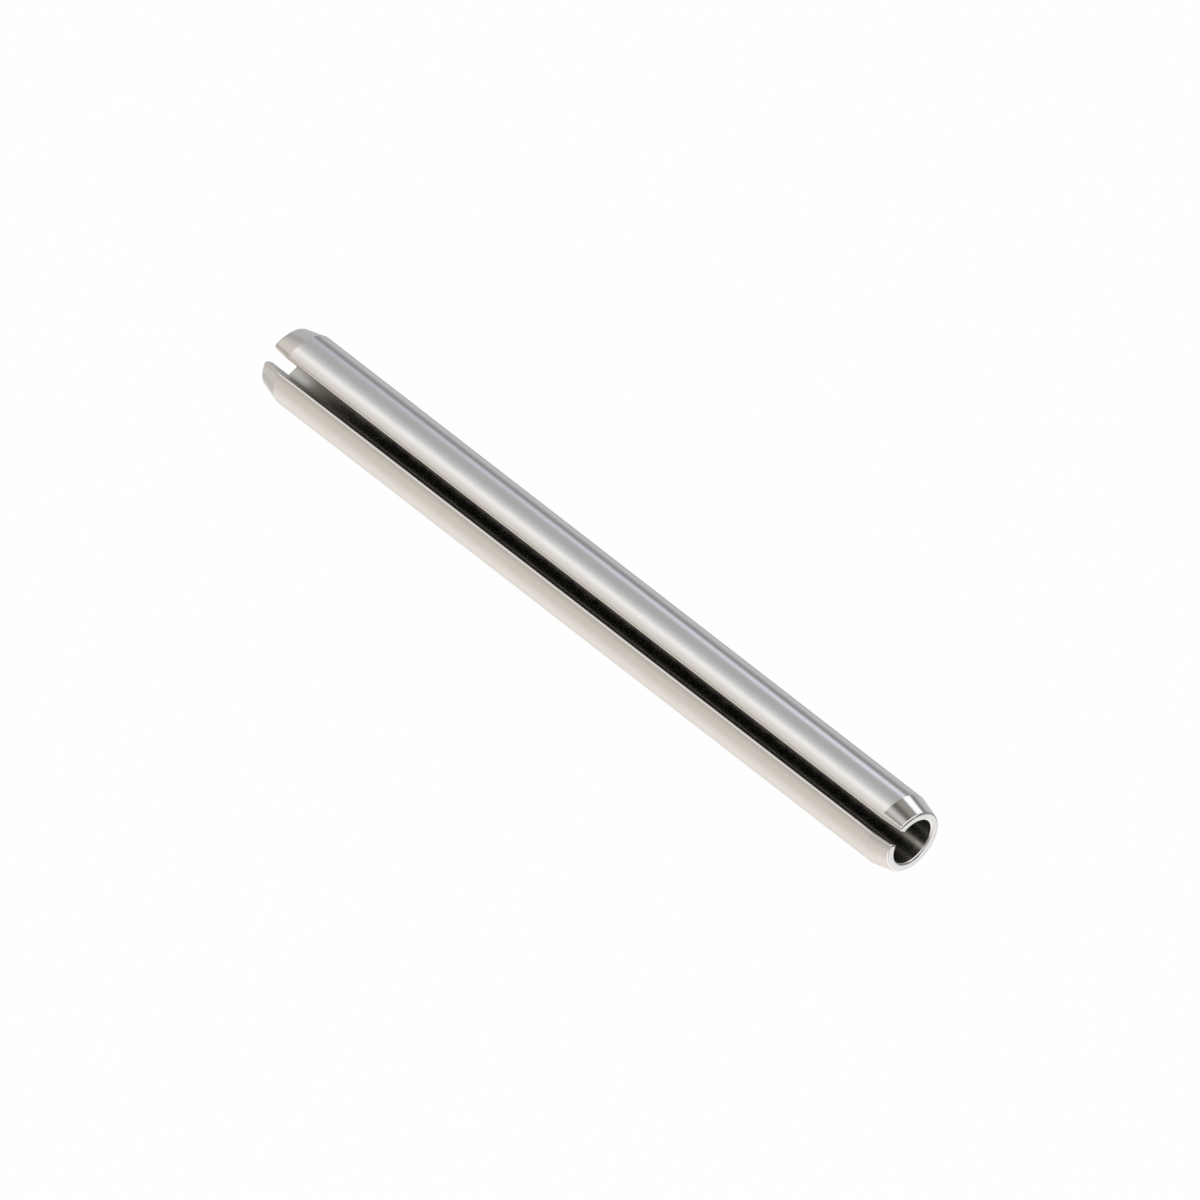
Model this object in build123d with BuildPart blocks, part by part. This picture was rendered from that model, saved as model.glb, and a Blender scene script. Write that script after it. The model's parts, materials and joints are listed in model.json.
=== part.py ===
from build123d import *
from math import radians, tan
import os

# Slotted spring pin, also called a roll pin, in its free state before it is driven.
# Spring steel strip is rolled into a C about the X axis, which leaves a parallel seam
# open from end to end. Both ends are tapered, so that either can lead into a hole.
# Driving the pin closes the seam a little, and the spring of the wall then grips.
#
# Frame: the origin is on the pin's axis, halfway along it. +X runs along the pin, and
# +Z points out through the seam, so the pin lies along X with its heavier side down.

# Driving dimensions, in millimetres and degrees
length = 41.3            # end face to end face, 1-5/8 inch
free_diameter = 3.74     # outside diameter, for a 9/64 inch hole
strip_thickness = 0.72   # the rolled strip, which is the wall of the tube
seam_width = 0.68        # gap between the two lips
taper_length = 1.1       # each lead-in, measured along the axis
taper_angle = 15         # slope of each lead-in to the axis
lip_radius = 0.15        # rounded outer edge of each lip, carried down the tapers
end_radius = 0.12        # rounded edges of each end face, outside, bore and seam walls

# The wall in half section
outer_radius = free_diameter / 2
bore_radius = outer_radius - strip_thickness
nose_radius = outer_radius - taper_length * tan(radians(taper_angle))
end_x = length / 2
shoulder_x = end_x - taper_length

with BuildPart() as spring_pin:
    # Tube: the wall's half section, with a taper at each end, turned about the X axis
    with BuildSketch(Plane.XZ):
        with BuildLine():
            Polyline(
                (-end_x, bore_radius),
                (-end_x, nose_radius),
                (-shoulder_x, outer_radius),
                (shoulder_x, outer_radius),
                (end_x, nose_radius),
                (end_x, bore_radius),
                close=True,
            )
        make_face()
    revolve(axis=Axis.X)

    # Seam: a parallel slot through the upper wall only, from the bore to the outside
    with BuildSketch(Plane.XY):
        Rectangle(length, seam_width)
    extrude(amount=free_diameter, mode=Mode.SUBTRACT)

    # Lips: the outer edges of the seam walls, straight along the pin and then curved
    # down each taper. They are the two highest groups of edges on those walls.
    seam_walls = spring_pin.faces().filter_by(Axis.Y)
    taper_edges, straight_edges = seam_walls.edges().group_by(Axis.Z)[-2:]
    fillet(taper_edges + straight_edges, radius=lip_radius)

    # Ends: tumbling has rounded every edge of the two C-shaped faces
    end_faces = spring_pin.faces().filter_by(Axis.X)
    fillet(end_faces.edges(), radius=end_radius)

spring_pin.part.label = "spring_pin"

os.makedirs("parts", exist_ok=True)
export_step(spring_pin.part, "parts/spring_pin.step")
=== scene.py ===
import json
import math

import bpy
from mathutils import Matrix, Vector


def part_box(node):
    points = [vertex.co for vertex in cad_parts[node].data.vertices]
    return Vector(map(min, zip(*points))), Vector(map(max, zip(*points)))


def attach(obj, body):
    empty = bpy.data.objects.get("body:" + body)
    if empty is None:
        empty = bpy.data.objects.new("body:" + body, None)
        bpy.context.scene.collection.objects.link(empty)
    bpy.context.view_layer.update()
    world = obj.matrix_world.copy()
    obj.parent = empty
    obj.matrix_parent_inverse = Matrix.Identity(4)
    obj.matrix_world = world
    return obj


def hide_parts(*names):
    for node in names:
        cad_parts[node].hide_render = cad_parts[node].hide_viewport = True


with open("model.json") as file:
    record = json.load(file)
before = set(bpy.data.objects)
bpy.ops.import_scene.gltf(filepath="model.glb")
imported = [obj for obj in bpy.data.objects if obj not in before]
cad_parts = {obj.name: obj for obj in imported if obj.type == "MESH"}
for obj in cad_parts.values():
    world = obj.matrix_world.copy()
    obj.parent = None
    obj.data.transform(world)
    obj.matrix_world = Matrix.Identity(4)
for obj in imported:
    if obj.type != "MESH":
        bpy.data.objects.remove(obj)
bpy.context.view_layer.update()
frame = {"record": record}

# ---------------------------------------------------------------------------------
# The slotted spring pin: strip of hardened spring steel, rolled into a C-shaped tube.
# Both ends are turned to a taper, and the edges of the strip and of the ends are
# rounded by tumbling. Its shape follows one rule, a C-section carried along the axis.
# ---------------------------------------------------------------------------------

MM = 0.001
mounts = {mount["name"]: mount for mount in frame["record"]["mounts"]}
pin_low, pin_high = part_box("spring_pin")
half_length = (pin_high.x - pin_low.x) / 2
outer_radius = mounts["shank"]["dims"]["r_mm"] * MM
bore_radius = mounts["bore"]["dims"]["r_mm"] * MM
taper_length = half_length - mounts["shank"]["dims"]["length_mm"] * MM / 2
taper_angle = math.radians(15)
half_seam = 0.68 * MM / 2
lip_radius = 0.15 * MM
end_radius = 0.14 * MM
crease_angle = math.radians(12)

# Steps of the C-section, from the bottom of the pin round one side to the bore's bottom
outer_steps, lip_steps, wall_steps, bore_steps = 64, 10, 3, 44
# Steps along the pin, from its middle to one end
straight_steps, taper_steps, edge_steps = 16, 6, 12
# Steps into the rounded end edges that the painted shade of the bore still covers
painted_shade_edge_steps = 2
section_steps = outer_steps + lip_steps + wall_steps + bore_steps
end_steps = straight_steps + taper_steps + edge_steps


def add(tree, kind, inputs=(), **settings):
    """Adds a node; an input is a value, a socket, or a node, which gives its first output."""
    node = tree.nodes.new(kind)
    for name, value in settings.items():
        setattr(node, name, value)
    pairs = inputs.items() if isinstance(inputs, dict) else enumerate(inputs)
    for key, value in pairs:
        if isinstance(value, bpy.types.Node):
            value = value.outputs[0]
        if isinstance(value, bpy.types.NodeSocket):
            tree.links.new(value, node.inputs[key])
        elif value is not None:
            node.inputs[key].default_value = value
    return node


def linear(hex_colour):
    """An sRGB hex colour as linear RGBA."""
    channels = [int(hex_colour[i : i + 2], 16) / 255 for i in (0, 2, 4)]
    return [c / 12.92 if c <= 0.04045 else ((c + 0.055) / 1.055) ** 2.4 for c in channels] + [1.0]


def tumbled_spring_steel():
    """Cold-rolled strip, tumbled after hardening: a satin grey with a soft, slightly uneven shine."""
    grain, wave = 0.12 * MM, 0.9 * MM
    grain_height, wave_height = 0.00025 * MM, 0.003 * MM
    material = bpy.data.materials.new("tumbled_spring_steel")
    material.use_nodes = True
    tree = material.node_tree
    tree.nodes.clear()
    place = add(tree, "ShaderNodeTexCoord").outputs["Object"]
    grains = add(tree, "ShaderNodeTexNoise", {"Vector": place, "Scale": 1 / grain, "Detail": 3.0})
    waves = add(tree, "ShaderNodeTexNoise", {"Vector": place, "Scale": 1 / wave, "Detail": 2.0})
    roughness = add(
        tree, "ShaderNodeMapRange",
        {"Value": grains, "From Min": 0.3, "From Max": 0.7, "To Min": 0.08, "To Max": 0.15},
    )
    rolled = add(tree, "ShaderNodeBump", {"Strength": 1.0, "Distance": wave_height, "Height": waves})
    pitted = add(
        tree, "ShaderNodeBump",
        {"Strength": 1.0, "Distance": grain_height, "Height": grains, "Normal": rolled},
    )
    colour = add(
        tree, "ShaderNodeMix",
        {"Factor": waves, 6: linear("D2CDC8"), 7: linear("D6D1CE")}, data_type="RGBA",
    ).outputs[2]
    shader = add(
        tree, "ShaderNodeBsdfPrincipled",
        {"Base Color": colour, "Metallic": 1.0, "Roughness": roughness, "Normal": pitted},
    )
    add(tree, "ShaderNodeOutputMaterial", [shader])
    return material


def turned_spring_steel():
    """The tapers and end faces, cut bare in a lathe: brighter, with fine rings left by the tool."""
    # Real rings are about 0.03 mm apart, too fine to show, so these are a few times coarser
    ring_pitch = 0.12 * MM
    ring_height = 0.0004 * MM
    material = bpy.data.materials.new("turned_spring_steel")
    material.use_nodes = True
    tree = material.node_tree
    tree.nodes.clear()
    place = add(tree, "ShaderNodeTexCoord").outputs["Object"]
    across = add(tree, "ShaderNodeVectorMath", [place, (0.0, 1.0, 1.0)], operation="MULTIPLY")
    radius = add(tree, "ShaderNodeVectorMath", [across], operation="LENGTH").outputs["Value"]
    x = add(tree, "ShaderNodeSeparateXYZ", [place]).outputs["X"]
    x = add(tree, "ShaderNodeMath", [x], operation="ABSOLUTE")
    tool_path = add(tree, "ShaderNodeMath", [x, radius], operation="ADD")
    rings = add(
        tree, "ShaderNodeTexNoise", {"W": tool_path, "Scale": 1 / ring_pitch, "Detail": 2.0},
        noise_dimensions="1D",
    )
    roughness = add(
        tree, "ShaderNodeMapRange",
        {"Value": rings, "From Min": 0.3, "From Max": 0.7, "To Min": 0.05, "To Max": 0.09},
    )
    cut = add(tree, "ShaderNodeBump", {"Strength": 1.0, "Distance": ring_height, "Height": rings})
    colour = add(
        tree, "ShaderNodeMix",
        {"Factor": rings, 6: linear("D2CECA"), 7: linear("DAD6D2")}, data_type="RGBA",
    ).outputs[2]
    shader = add(
        tree, "ShaderNodeBsdfPrincipled",
        {"Base Color": colour, "Metallic": 1.0, "Roughness": roughness, "Normal": cut},
    )
    add(tree, "ShaderNodeOutputMaterial", [shader])
    return material


def bore_painted_shade():
    """Painted shade on the seam walls and deep in the bore: a dark, dull and patchy grey.

    Painted light makes it brighter a little way into each end of the bore.
    """
    patch, reach_in = 0.5 * MM, 1.5 * MM
    material = bpy.data.materials.new("bore_painted_shade")
    material.use_nodes = True
    tree = material.node_tree
    tree.nodes.clear()
    place = add(tree, "ShaderNodeTexCoord").outputs["Object"]
    patches = add(tree, "ShaderNodeTexNoise", {"Vector": place, "Scale": 1 / patch, "Detail": 4.0})
    x = add(tree, "ShaderNodeSeparateXYZ", [place]).outputs["X"]
    x = add(tree, "ShaderNodeMath", [x], operation="ABSOLUTE")
    # Painted light: the grey brightens over the last reach_in of each end of the bore
    painted_light_near_ends = add(
        tree, "ShaderNodeMapRange",
        {"Value": x, "From Min": half_length - reach_in, "From Max": half_length},
        interpolation_type="SMOOTHSTEP",
    )
    # Painted shade: a dark grey, patchy at random, for the seam walls and the bore
    painted_shade_colour = add(
        tree, "ShaderNodeMix",
        {"Factor": patches, 6: linear("8E8B86"), 7: linear("9C9A96")}, data_type="RGBA",
    ).outputs[2]
    colour = add(
        tree, "ShaderNodeMix",
        {"Factor": painted_light_near_ends, 6: painted_shade_colour, 7: linear("BCB9B4")}, data_type="RGBA",
    ).outputs[2]
    roughness = add(
        tree, "ShaderNodeMapRange",
        {"Value": patches, "From Min": 0.3, "From Max": 0.7, "To Min": 0.2, "To Max": 0.3},
    )
    shader = add(
        tree, "ShaderNodeBsdfPrincipled",
        {"Base Color": colour, "Metallic": 0.985, "Roughness": roughness},
    )
    add(tree, "ShaderNodeOutputMaterial", [shader])
    return material


def rolled_pin_tree():
    """Geometry Nodes for the pin: a tube of stations and section steps, each point set by rule."""
    tree = bpy.data.node_groups.new("rolled_pin", "GeometryNodeTree")
    tree.interface.new_socket("Geometry", in_out="OUTPUT", socket_type="NodeSocketGeometry")
    for name in (
        "Half Length", "Outer Radius", "Bore Radius", "Half Seam",
        "Taper Length", "Taper Angle", "Lip Radius", "End Radius",
    ):
        tree.interface.new_socket(name, in_out="INPUT", socket_type="NodeSocketFloat")
    # Scale is the material of painted shade on the seam walls and in the bore
    for name in ("Satin", "Turned", "Scale"):
        tree.interface.new_socket(name, in_out="INPUT", socket_type="NodeSocketMaterial")
    given = add(tree, "NodeGroupInput").outputs

    # A plain tube with numbered stations along it and numbered steps round it
    line = add(tree, "GeometryNodeCurvePrimitiveLine")
    stations = add(tree, "GeometryNodeResampleCurve", {"Curve": line, "Count": 2 * end_steps + 1})
    ring = add(tree, "GeometryNodeCurvePrimitiveCircle", {"Resolution": 2 * section_steps})
    number = add(tree, "GeometryNodeInputIndex")
    stations = add(
        tree, "GeometryNodeStoreNamedAttribute",
        {"Geometry": stations, "Name": "station", "Value": number}, data_type="FLOAT", domain="POINT",
    )
    ring = add(
        tree, "GeometryNodeStoreNamedAttribute",
        {"Geometry": ring, "Name": "step", "Value": number}, data_type="FLOAT", domain="POINT",
    )
    tube = add(
        tree, "GeometryNodeCurveToMesh", {"Curve": stations, "Profile Curve": ring, "Fill Caps": True},
    )
    station = add(tree, "GeometryNodeInputNamedAttribute", {"Name": "station"}, data_type="FLOAT")
    step = add(tree, "GeometryNodeInputNamedAttribute", {"Name": "step"}, data_type="FLOAT")

    # Along the pin: x, the local outer radius and the inset of the rounded end edges
    from_middle = add(tree, "ShaderNodeMath", [station, end_steps], operation="SUBTRACT")
    end_sign = add(tree, "ShaderNodeMath", [from_middle], operation="SIGN")
    rank = add(tree, "ShaderNodeMath", [from_middle], operation="ABSOLUTE")
    shoulder = add(
        tree, "ShaderNodeMath", [given["Half Length"], given["Taper Length"]], operation="SUBTRACT",
    )
    taper_run = add(
        tree, "ShaderNodeMath", [given["Taper Length"], given["End Radius"]], operation="SUBTRACT",
    )
    on_straight = add(
        tree, "ShaderNodeMapRange",
        {"Value": rank, "From Max": straight_steps, "To Max": shoulder},
    )
    on_taper = add(
        tree, "ShaderNodeMapRange",
        {
            "Value": rank, "From Min": straight_steps,
            "From Max": straight_steps + taper_steps, "To Max": taper_run,
        },
    )
    edge_angle = add(
        tree, "ShaderNodeMapRange",
        {
            "Value": rank, "From Min": straight_steps + taper_steps,
            "From Max": end_steps, "To Max": math.pi / 2,
        },
    )
    edge_sine = add(tree, "ShaderNodeMath", [edge_angle], operation="SINE")
    edge_cosine = add(tree, "ShaderNodeMath", [edge_angle], operation="COSINE")
    before_edge = add(tree, "ShaderNodeMath", [on_straight, on_taper], operation="ADD")
    along = add(
        tree, "ShaderNodeMath", [edge_sine, given["End Radius"], before_edge], operation="MULTIPLY_ADD",
    )
    slope = add(tree, "ShaderNodeMath", [given["Taper Angle"]], operation="TANGENT")
    down_taper = add(tree, "ShaderNodeMath", [along, shoulder], operation="SUBTRACT")
    down_taper = add(tree, "ShaderNodeMath", [down_taper, 0.0], operation="MAXIMUM")
    cone_drop = add(tree, "ShaderNodeMath", [down_taper, slope], operation="MULTIPLY")
    cone_radius = add(
        tree, "ShaderNodeMath", [given["Outer Radius"], cone_drop], operation="SUBTRACT",
    )
    # The edge's circle touches the end face and the cone
    nose_drop = add(tree, "ShaderNodeMath", [given["Taper Length"], slope], operation="MULTIPLY")
    nose_radius = add(
        tree, "ShaderNodeMath", [given["Outer Radius"], nose_drop], operation="SUBTRACT",
    )
    angle_sine = add(tree, "ShaderNodeMath", [given["Taper Angle"]], operation="SINE")
    angle_cosine = add(tree, "ShaderNodeMath", [given["Taper Angle"]], operation="COSINE")
    centre_drop = add(tree, "ShaderNodeMath", [1.0, angle_sine], operation="SUBTRACT")
    centre_drop = add(tree, "ShaderNodeMath", [centre_drop, angle_cosine], operation="DIVIDE")
    edge_rise = add(tree, "ShaderNodeMath", [edge_cosine, centre_drop], operation="SUBTRACT")
    edge_outer = add(
        tree, "ShaderNodeMath", [edge_rise, given["End Radius"], nose_radius], operation="MULTIPLY_ADD",
    )
    on_edge = add(tree, "ShaderNodeMath", [edge_angle, given["Taper Angle"]], operation="GREATER_THAN")
    local_outer = add(
        tree, "ShaderNodeMix", {"Factor": on_edge, 2: cone_radius, 3: edge_outer}, data_type="FLOAT",
    )
    inset = add(tree, "ShaderNodeMath", [1.0, edge_cosine], operation="SUBTRACT")
    inset = add(tree, "ShaderNodeMath", [inset, given["End Radius"]], operation="MULTIPLY")

    # Round the section: outside, lip, seam wall and bore, each in one plane across the axis
    half_ring = add(tree, "ShaderNodeMath", [step, section_steps], operation="SUBTRACT")
    side = add(
        tree, "ShaderNodeMapRange",
        {"Value": half_ring, "From Min": -0.5, "From Max": 0.5, "To Min": 1.0, "To Max": -1.0},
    )
    half_ring = add(tree, "ShaderNodeMath", [half_ring], operation="ABSOLUTE")
    half_step = add(tree, "ShaderNodeMath", [section_steps, half_ring], operation="SUBTRACT")
    local_seam = add(tree, "ShaderNodeMath", [given["Half Seam"], inset], operation="ADD")
    local_bore = add(tree, "ShaderNodeMath", [given["Bore Radius"], inset], operation="ADD")
    local_lip = add(tree, "ShaderNodeMath", [given["Lip Radius"], inset], operation="SUBTRACT")
    lip_y = add(tree, "ShaderNodeMath", [local_seam, local_lip], operation="ADD")
    lip_reach = add(tree, "ShaderNodeMath", [local_outer, local_lip], operation="SUBTRACT")
    lip_angle = add(tree, "ShaderNodeMath", [lip_y, lip_reach], operation="DIVIDE")
    lip_angle = add(tree, "ShaderNodeMath", [lip_angle], operation="ARCSINE")
    lip_turn = add(tree, "ShaderNodeMath", [lip_angle], operation="COSINE")
    lip_z = add(tree, "ShaderNodeMath", [lip_reach, lip_turn], operation="MULTIPLY")
    foot_angle = add(tree, "ShaderNodeMath", [local_seam, local_bore], operation="DIVIDE")
    foot_angle = add(tree, "ShaderNodeMath", [foot_angle], operation="ARCSINE")
    foot_turn = add(tree, "ShaderNodeMath", [foot_angle], operation="COSINE")
    foot_z = add(tree, "ShaderNodeMath", [local_bore, foot_turn], operation="MULTIPLY")
    turn_to_lip = add(tree, "ShaderNodeMath", [lip_angle, -1.0], operation="MULTIPLY")
    turn_to_foot = add(tree, "ShaderNodeMath", [foot_angle, -1.0], operation="MULTIPLY")
    lip_end = outer_steps + lip_steps
    wall_end = lip_end + wall_steps
    outer_turn = add(
        tree, "ShaderNodeMapRange",
        {"Value": half_step, "From Max": outer_steps, "To Min": -math.pi, "To Max": turn_to_lip},
    )
    round_lip = add(
        tree, "ShaderNodeMapRange",
        {
            "Value": half_step, "From Min": outer_steps, "From Max": lip_end,
            "To Min": turn_to_lip, "To Max": math.pi / 2,
        },
    )
    down_wall = add(
        tree, "ShaderNodeMapRange",
        {
            "Value": half_step, "From Min": lip_end, "From Max": wall_end,
            "To Min": lip_z, "To Max": foot_z,
        },
    )
    bore_turn = add(
        tree, "ShaderNodeMapRange",
        {
            "Value": half_step, "From Min": wall_end, "From Max": section_steps,
            "To Min": turn_to_foot, "To Max": -math.pi,
        },
    )
    outer_arm = add(tree, "ShaderNodeCombineXYZ", {"Z": local_outer})
    outer_point = add(
        tree, "ShaderNodeVectorRotate", {"Vector": outer_arm, "Angle": outer_turn}, rotation_type="X_AXIS",
    )
    lip_arm = add(tree, "ShaderNodeCombineXYZ", {"Z": local_lip})
    lip_arm = add(
        tree, "ShaderNodeVectorRotate", {"Vector": lip_arm, "Angle": round_lip}, rotation_type="X_AXIS",
    )
    lip_centre = add(tree, "ShaderNodeCombineXYZ", {"Y": lip_y, "Z": lip_z})
    lip_point = add(tree, "ShaderNodeVectorMath", [lip_centre, lip_arm], operation="ADD")
    wall_point = add(tree, "ShaderNodeCombineXYZ", {"Y": local_seam, "Z": down_wall})
    bore_arm = add(tree, "ShaderNodeCombineXYZ", {"Z": local_bore})
    bore_point = add(
        tree, "ShaderNodeVectorRotate", {"Vector": bore_arm, "Angle": bore_turn}, rotation_type="X_AXIS",
    )
    point = outer_point
    for first_step, next_point in (
        (outer_steps, lip_point), (lip_end, wall_point), (wall_end, bore_point),
    ):
        reached = add(tree, "ShaderNodeMath", [half_step, first_step + 0.5], operation="GREATER_THAN")
        point = add(
            tree, "ShaderNodeMix", {"Factor": reached, 4: point, 5: next_point}, data_type="VECTOR",
        ).outputs[1]
    mirror = add(tree, "ShaderNodeCombineXYZ", {"X": 1.0, "Y": side, "Z": 1.0})
    signed_x = add(tree, "ShaderNodeMath", [along, end_sign], operation="MULTIPLY")
    shift = add(tree, "ShaderNodeCombineXYZ", {"X": signed_x})
    place = add(tree, "ShaderNodeVectorMath", [point, mirror, shift], operation="MULTIPLY_ADD")
    pin = add(tree, "GeometryNodeSetPosition", {"Geometry": tube, "Position": place})

    # Crisp edges: the shoulders, the bore's edges along the seam, and the flat end faces
    crease = add(tree, "GeometryNodeInputMeshEdgeAngle").outputs["Unsigned Angle"]
    creased = add(tree, "ShaderNodeMath", [crease, crease_angle], operation="GREATER_THAN")
    on_face = add(tree, "ShaderNodeMath", [rank, end_steps - 0.1], operation="GREATER_THAN")
    crisp = add(tree, "ShaderNodeMath", [creased, on_face], operation="MAXIMUM")
    pin = add(
        tree, "GeometryNodeSetShadeSmooth",
        {"Geometry": pin, "Selection": crisp, "Shade Smooth": False}, domain="EDGE",
    )

    # Finishes: satin outside, turned past the shoulders, and painted shade on the seam walls and bore
    # as far as the rounded end edges, which are turned too
    past_shoulder = add(tree, "ShaderNodeMath", [rank, straight_steps], operation="GREATER_THAN")
    inside = add(tree, "ShaderNodeMath", [half_step, lip_end], operation="GREATER_THAN")
    before_face = add(
        tree, "ShaderNodeMath", [rank, straight_steps + taper_steps + painted_shade_edge_steps],
        operation="LESS_THAN",
    )
    inside = add(tree, "ShaderNodeMath", [inside, before_face], operation="MULTIPLY")
    pin = add(tree, "GeometryNodeRealizeInstances", [pin])
    pin = add(tree, "GeometryNodeSetMaterial", {"Geometry": pin, "Material": given["Satin"]})
    pin = add(
        tree, "GeometryNodeSetMaterial",
        {"Geometry": pin, "Selection": past_shoulder, "Material": given["Turned"]},
    )
    pin = add(
        tree, "GeometryNodeSetMaterial",
        {"Geometry": pin, "Selection": inside, "Material": given["Scale"]},
    )
    add(tree, "NodeGroupOutput", [pin])
    return tree


def baked_from_nodes(name, tree, values):
    """The plain mesh that a Geometry Nodes tree makes from these named inputs."""
    holder = bpy.data.objects.new(name + "_nodes", bpy.data.meshes.new(name + "_nodes"))
    bpy.context.collection.objects.link(holder)
    modifier = holder.modifiers.new(name, "NODES")
    modifier.node_group = tree
    for item in tree.interface.items_tree:
        if item.in_out == "INPUT":
            modifier[item.identifier] = values[item.name]
    evaluated = holder.evaluated_get(bpy.context.evaluated_depsgraph_get())
    mesh = bpy.data.meshes.new_from_object(evaluated)
    bpy.data.objects.remove(holder)
    mesh.name = name
    piece = bpy.data.objects.new(name, mesh)
    bpy.context.collection.objects.link(piece)
    return piece


pin = baked_from_nodes(
    "slotted_pin",
    rolled_pin_tree(),
    {
        "Half Length": half_length,
        "Outer Radius": outer_radius,
        "Bore Radius": bore_radius,
        "Half Seam": half_seam,
        "Taper Length": taper_length,
        "Taper Angle": taper_angle,
        "Lip Radius": lip_radius,
        "End Radius": end_radius,
        "Satin": tumbled_spring_steel(),
        "Turned": turned_spring_steel(),
        # Scale: painted shade on the seam walls and in the bore
        "Scale": bore_painted_shade(),
    },
)
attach(pin, "root")
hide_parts("spring_pin")

# ---------------------------------------------------------------------------------
# The floor: a large sheet of white card that the pin lies on. The camera sees it white,
# with a trace of the pin's soft shadow, and the metal sees the tent's painted floor instead.
# ---------------------------------------------------------------------------------

floor_half_width = 40 * half_length
floor_glow = 0.98


def white_card():
    """Matt white card: its own glow, for the camera alone, keeps it white beside the bright metal."""
    material = bpy.data.materials.new("white_card")
    material.use_nodes = True
    tree = material.node_tree
    tree.nodes.clear()
    paper = add(tree, "ShaderNodeBsdfDiffuse", {"Color": linear("F4F4F4")})
    glow = add(tree, "ShaderNodeEmission", {"Color": linear("FFFFFF"), "Strength": 1.0})
    to_camera_only = add(tree, "ShaderNodeLightPath").outputs["Is Camera Ray"]
    share = add(tree, "ShaderNodeMath", [to_camera_only, floor_glow], operation="MULTIPLY")
    seen = add(tree, "ShaderNodeMixShader", [share, paper, glow])
    add(tree, "ShaderNodeOutputMaterial", [seen])
    return material


def flat_sheet(name, middle, half_length_way, half_width_way, material):
    """A four-cornered sheet about its middle."""
    mesh = bpy.data.meshes.new(name)
    corners = [
        middle + along_sign * half_length_way + across_sign * half_width_way
        for along_sign, across_sign in ((-1, -1), (1, -1), (1, 1), (-1, 1))
    ]
    mesh.from_pydata(corners, [], [(0, 1, 2, 3)])
    mesh.materials.append(material)
    sheet = bpy.data.objects.new(name, mesh)
    bpy.context.collection.objects.link(sheet)
    return sheet


floor = flat_sheet(
    "floor",
    Vector((0, 0, pin_low.z)),
    Vector((floor_half_width, 0, 0)),
    Vector((0, floor_half_width, 0)),
    white_card(),
)
floor.visible_glossy = False

# ---------------------------------------------------------------------------------
# The light: a tent of white sheet, with soft cards hung in it for the metal to reflect. The
# tent is painted on the world, far off, so a card is placed by its direction from the pin.
# ---------------------------------------------------------------------------------


def turn_about_pin(tree, way):
    """The turn about the pin of a direction or place, in degrees from straight up towards +Y."""
    turn = add(tree, "ShaderNodeMath", [way["Y"], way["Z"]], operation="ARCTAN2")
    return add(tree, "ShaderNodeMath", [turn], operation="DEGREES")


def between(tree, value, low, high, soft):
    """1 from low to high and 0 outside, changing over a width of soft; None is no limit."""
    share = None
    for limit, sign in ((low, 1), (high, -1)):
        if limit is None:
            continue
        step = add(
            tree, "ShaderNodeMapRange",
            {
                "Value": value,
                "From Min": limit - sign * soft / 2, "From Max": limit + sign * soft / 2,
                "To Min": 0.0, "To Max": 1.0,
            },
            interpolation_type="SMOOTHSTEP",
        )
        share = add(tree, "ShaderNodeMath", [share, step], operation="MULTIPLY") if share else step
    return share


world = bpy.data.worlds.new("white_tent")
world.use_nodes = True
tree = world.node_tree
tree.nodes.clear()
way = add(tree, "ShaderNodeTexCoord").outputs["Generated"]
way = add(tree, "ShaderNodeSeparateXYZ", [way]).outputs
turn = turn_about_pin(tree, way)
along = way["X"]

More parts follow.
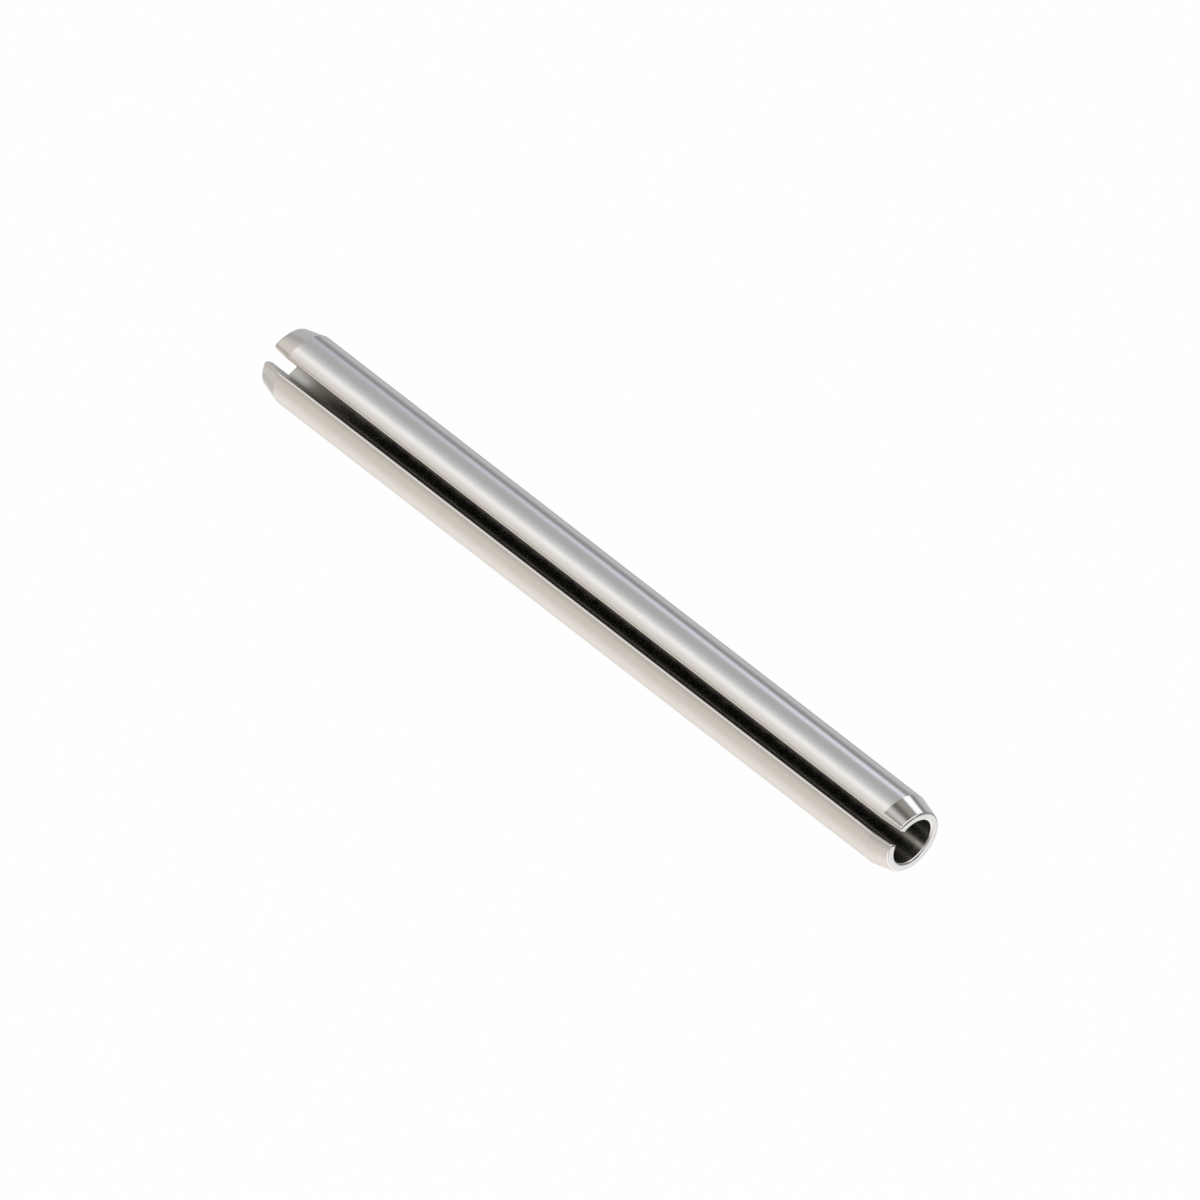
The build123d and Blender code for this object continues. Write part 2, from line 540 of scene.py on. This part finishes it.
# Each card has a colour and strength, the turns about the pin that it lies between, the blur
# of those two edges, its reach along the pin, from -1 towards -X to 1 towards +X, and the fade
# at each end of it. The first card fills the tent, and later ones hang in front.
light = None
reached = {}
for name, colour, strength, turns, blur, reach, fade in (
    # All along the pin
    ("sheet overhead", "FFFBF3", 0.73, (None, None), 1, (None, None), 1),
    ("sheet at -Y", "FFFAF4", 0.90, (None, -53), 22, (None, None), 1),
    ("white floor", "FFFCF7", 1.13, (None, -87), 40, (None, None), 1),
    ("floor under the pin", "FFFEFA", 0.93, (None, -132), 24, (None, None), 1),
    ("sheet by the key", "FFFFFB", 1.00, (15, None), 30, (None, None), 1),
    ("glow by the key", "F6FAFF", 1.10, (44, None), 10, (None, None), 1),
    ("key softbox", "F9FDFF", 1.46, (38, 53), 26, (None, None), 1),
    ("grey side wall", "F6FBFF", 0.66, (65, None), 36, (None, None), 1),
    ("black flag", "F4FAFF", 0.40, (115, 135), 21, (None, None), 1),
    ("floor at +Y", "F7FBFF", 0.75, (145, None), 15, (None, None), 1),
    ("floor in shade", "F9FCFF", 0.62, (158, None), 12, (None, None), 1),
    ("floor in contact", "F9FCFF", 0.50, (172, None), 10, (None, None), 1),
    # Only the taper at -X faces these
    ("far wall at -Y", "FFFDFA", 0.81, (None, -48), 24, (None, -0.57), 0.05),
    ("far shade", "FFFCF9", 0.72, (-124, -100), 14, (None, -0.57), 0.05),
    ("far ceiling", "FFFBF5", 0.90, (15, None), 10, (None, -0.57), 0.05),
    ("gap in the ceiling", "FFFBF5", 0.62, (-38, 30), 8, (None, -0.57), 0.05),
    ("far wall at +Y", "FBFCFF", 0.50, (79, None), 59, (None, -0.57), 0.05),
    ("far panel", "F7FBFF", 0.67, (104, None), 25, (None, -0.57), 0.05),
    ("far doorway", "FFFFFF", 0.38, (None, None), 1, (None, -0.92), 0.06),
    # Only the taper at +X faces these
    ("near shade", "FFFCF8", 0.62, (-51, -10), 36, (-0.42, 0.12), 0.05),
    ("near flag", "FDFFF4", 0.26, (28, None), 3, (-0.42, 0.12), 0.05),
    ("gap in the flag", "FEFFFF", 0.81, (33, 52), 16, (-0.42, 0.12), 0.05),
    ("edge of the flag", "FDFFF7", 0.20, (59, 76), 7, (-0.42, 0.12), 0.05),
    ("olive card", "FFF9E8", 0.41, (71, None), 14, (-0.42, 0.12), 0.05),
    ("grey card", "FBFFFF", 0.43, (81, None), 12, (-0.42, 0.12), 0.05),
    ("bright panel", "F4F9FF", 1.59, (95, 118), 8, (-0.42, 0.12), 0.05),
    ("near wall", "F4F8FF", 0.35, (122, None), 4, (-0.42, 0.12), 0.05),
    ("near floor", "F7FBFF", 0.71, (135, None), 20, (-0.42, 0.12), 0.05),
    # Only the end face at +X and its rounded edges face these
    ("front sheet", "FFFFFF", 1.50, (None, None), 1, (0.14, None), 0.1),
    ("front floor", "F8FBFF", 1.20, (None, None), 1, (0.42, None), 0.06),
    ("front shadow", "FFFFFF", 0.62, (None, -158), 16, (0.1, 0.38), 0.06),
    ("front shadow at +Y", "FFFFFF", 0.55, (160, None), 20, (0.1, 0.38), 0.06),
    ("front shade at -Y", "FFFFFF", 0.80, (-120, -40), 20, (0.6, None), 0.2),
    ("front card", "FFFFFF", 0.50, (-62, 4), 30, (0.12, 0.92), 0.06),
    ("doorway", "FFFFFF", 0.03, (4, 108), 18, (0.72, 0.97), 0.03),
    ("doorway's side", "FFFFFF", 0.34, (100, 170), 24, (0.12, 0.96), 0.05),
):
    shade = [channel * strength for channel in linear(colour)[:3]] + [1.0]
    if light is None:
        light = shade
        continue
    if (reach, fade) not in reached:
        reached[reach, fade] = between(tree, along, *reach, fade)
    share = between(tree, turn, *turns, blur)
    if share and reached[reach, fade]:
        share = add(tree, "ShaderNodeMath", [share, reached[reach, fade]], operation="MULTIPLY")
    share = share or reached[reach, fade]
    light = add(
        tree, "ShaderNodeMix", {"Factor": share, 6: light, 7: shade}, data_type="RGBA", label=name,
    ).outputs[2]

to_camera_only = add(tree, "ShaderNodeLightPath").outputs["Is Camera Ray"]
seen = add(
    tree, "ShaderNodeMix", {"Factor": to_camera_only, 6: light, 7: linear("FFFFFF")}, data_type="RGBA",
).outputs[2]
tent = add(tree, "ShaderNodeBackground", {"Color": seen, "Strength": 1.0})
add(tree, "ShaderNodeOutputWorld", [tent])
bpy.context.scene.world = world

# ---------------------------------------------------------------------------------
# The thin strip: a ribbon of pale blue cloth, stretched below the floor's level where only the
# metal sees it. It is the one card near enough to change along the pin, and grows brighter
# towards +X.
# ---------------------------------------------------------------------------------

ribbon_turns = (101, 116)
ribbon_blur = 14
ribbon_distance = 100 * MM
ribbon_half_width = 35 * MM
ribbon_ends = (-106 * MM, -22 * MM)
ribbon_fade = (-77 * MM, -37 * MM)
ribbon_strengths = (0.83, 1.30)


def pale_blue_ribbon():
    """Thin satin ribbon lit from behind: it glows, and its soft edges let the tent show through."""
    material = bpy.data.materials.new("pale_blue_ribbon")
    material.use_nodes = True
    tree = material.node_tree
    tree.nodes.clear()
    place = add(tree, "ShaderNodeTexCoord").outputs["Object"]
    place = add(tree, "ShaderNodeSeparateXYZ", [place]).outputs
    woven = between(tree, turn_about_pin(tree, place), *ribbon_turns, ribbon_blur)
    brightness = add(
        tree, "ShaderNodeMapRange",
        {
            "Value": place["X"], "From Min": ribbon_fade[0], "From Max": ribbon_fade[1],
            "To Min": ribbon_strengths[0], "To Max": ribbon_strengths[1],
        },
    )
    glow = add(tree, "ShaderNodeEmission", {"Color": linear("E9EEFF"), "Strength": brightness})
    clear = add(tree, "ShaderNodeBsdfTransparent")
    cloth = add(tree, "ShaderNodeMixShader", [woven, clear, glow])
    add(tree, "ShaderNodeOutputMaterial", [cloth])
    return material


ribbon_turn = math.radians(sum(ribbon_turns) / 2)
ribbon_middle_x = sum(ribbon_ends) / 2
ribbon = flat_sheet(
    "ribbon",
    Vector((
        ribbon_middle_x,
        math.sin(ribbon_turn) * ribbon_distance,
        math.cos(ribbon_turn) * ribbon_distance,
    )),
    Vector((ribbon_ends[1] - ribbon_middle_x, 0, 0)),
    Vector((0, math.cos(ribbon_turn), -math.sin(ribbon_turn))) * ribbon_half_width,
    pale_blue_ribbon(),
)
ribbon.visible_camera = False
ribbon.visible_diffuse = False
ribbon.visible_shadow = False

# ---------------------------------------------------------------------------------
# The camera: a parallel view from above the +X end and a little to the +Y side of the seam,
# turned so that the pin runs down to the right.
# ---------------------------------------------------------------------------------

axis_to_view = math.radians(60.45)
seam_turn = math.radians(12.7)
image_slope = math.radians(37.745)
view_width = 54.4 * MM
camera_distance = 10 * half_length

to_camera = Vector((
    math.cos(axis_to_view),
    math.sin(axis_to_view) * math.sin(seam_turn),
    math.sin(axis_to_view) * math.cos(seam_turn),
))
pin_in_view = (Vector((1, 0, 0)) - to_camera * to_camera.x).normalized()
across_view = to_camera.cross(pin_in_view)
right = pin_in_view * math.cos(image_slope) + across_view * math.sin(image_slope)
up = to_camera.cross(right)
camera_data = bpy.data.cameras.new("camera")
camera_data.type = "ORTHO"
camera_data.ortho_scale = view_width
camera_data.clip_start = MM
camera_data.clip_end = 2 * camera_distance
camera = bpy.data.objects.new("camera", camera_data)
bpy.context.collection.objects.link(camera)
camera.matrix_world = Matrix((
    (right.x, up.x, to_camera.x, to_camera.x * camera_distance),
    (right.y, up.y, to_camera.y, to_camera.y * camera_distance),
    (right.z, up.z, to_camera.z, to_camera.z * camera_distance),
    (0, 0, 0, 1),
))
bpy.context.scene.camera = camera
bpy.context.scene.view_settings.view_transform = "Standard"
